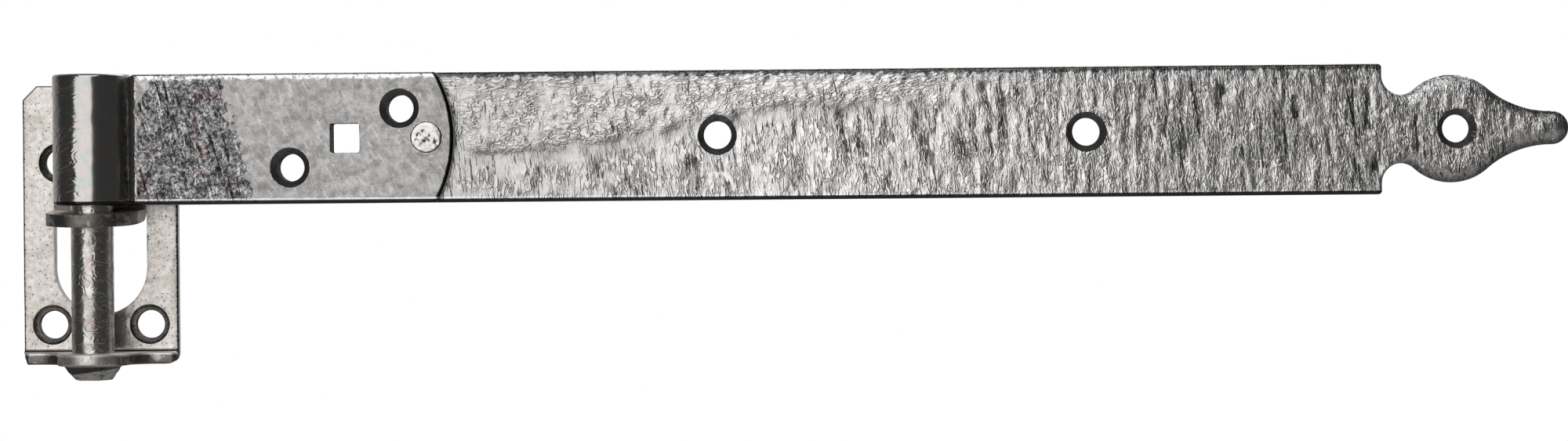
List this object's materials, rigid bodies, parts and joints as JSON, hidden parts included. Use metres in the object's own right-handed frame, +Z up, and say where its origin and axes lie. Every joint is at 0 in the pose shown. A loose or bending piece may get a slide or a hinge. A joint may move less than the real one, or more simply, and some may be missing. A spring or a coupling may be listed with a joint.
{
  "type": "hook and band hinge",
  "caption": "Heavy gate hinge in zinc coated steel: a fixing plate with a bent tongue and lip carries a pin, and a long spear-pointed strap is rolled round it and lifts off.",
  "frame": {"origin": "middle of the plate's four screw holes, on the plate's back face", "axes": "+X along the closed band towards its point, +Y out of the plate's back into the post, +Z up along the pin"},
  "size_m": [0.4753, 0.031, 0.0936],
  "materials": {
    "plate_zinc": "bright zinc coat, satin and lightly mottled",
    "pin_zinc": "bright zinc coat, polished",
    "band_zinc": "bright zinc coat over a hammered surface",
    "rivet_zinc": "bright zinc coat, hammered head"
  },
  "bodies": {
    "hook": {"hook_plate": "plate_zinc", "hook_pin": "pin_zinc"},
    "band": {"band": "band_zinc", "flap_rivet": "rivet_zinc"}
  },
  "joints": [
    {"name": "band_turn", "type": "hinge", "parent": "hook", "child": "band", "pos_m": [0, -0.017, 0.0318], "axis": [0, 0, -1], "range_deg": [0, 180]}
  ]
}
